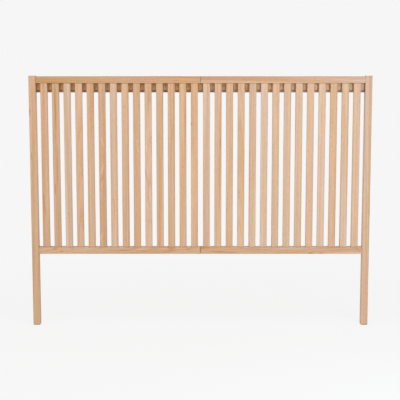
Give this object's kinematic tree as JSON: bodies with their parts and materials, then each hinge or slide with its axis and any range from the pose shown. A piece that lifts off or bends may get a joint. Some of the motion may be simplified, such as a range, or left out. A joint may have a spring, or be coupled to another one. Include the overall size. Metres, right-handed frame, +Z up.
{
  "type": "slatted headboard",
  "caption": "Free-standing slatted wooden headboard on two square legs, in two halves joined in the middle.",
  "frame": {"origin": "on the floor, midway between the two legs and midway through their depth", "axes": "+X to the right along the width as seen from the front, -Y out of the front, +Z up"},
  "size_m": [1.62, 0.033, 1.2],
  "materials": {
    "oak": "matt oiled",
    "beech": "plain turned",
    "zinc_plated_steel": "bright zinc plate"
  },
  "bodies": {
    "root": {"left_post": "oak", "right_post": "oak", "top_board_left": "oak", "top_board_right": "oak", "rear_rail": "oak", "bottom_rail_left": "oak", "bottom_rail_right": "oak", "slat_left_01": "oak", "slat_left_02": "oak", "slat_left_03": "oak", "slat_left_04": "oak", "slat_left_05": "oak", "slat_left_06": "oak", "slat_left_07": "oak", "slat_left_08": "oak", "slat_left_09": "oak", "slat_left_10": "oak", "slat_left_11": "oak", "slat_left_12": "oak", "slat_left_13": "oak", "slat_left_14": "oak", "slat_right_01": "oak", "slat_right_02": "oak", "slat_right_03": "oak", "slat_right_04": "oak", "slat_right_05": "oak", "slat_right_06": "oak", "slat_right_07": "oak", "slat_right_08": "oak", "slat_right_09": "oak", "slat_right_10": "oak", "slat_right_11": "oak", "slat_right_12": "oak", "slat_right_13": "oak", "slat_right_14": "oak", "slat_dowels": "beech", "post_dowels": "beech", "seam_dowels": "beech", "slat_screws": "zinc_plated_steel", "board_screws": "zinc_plated_steel", "plate_screws": "zinc_plated_steel", "joining_plate": "zinc_plated_steel"}
  },
  "joints": []
}
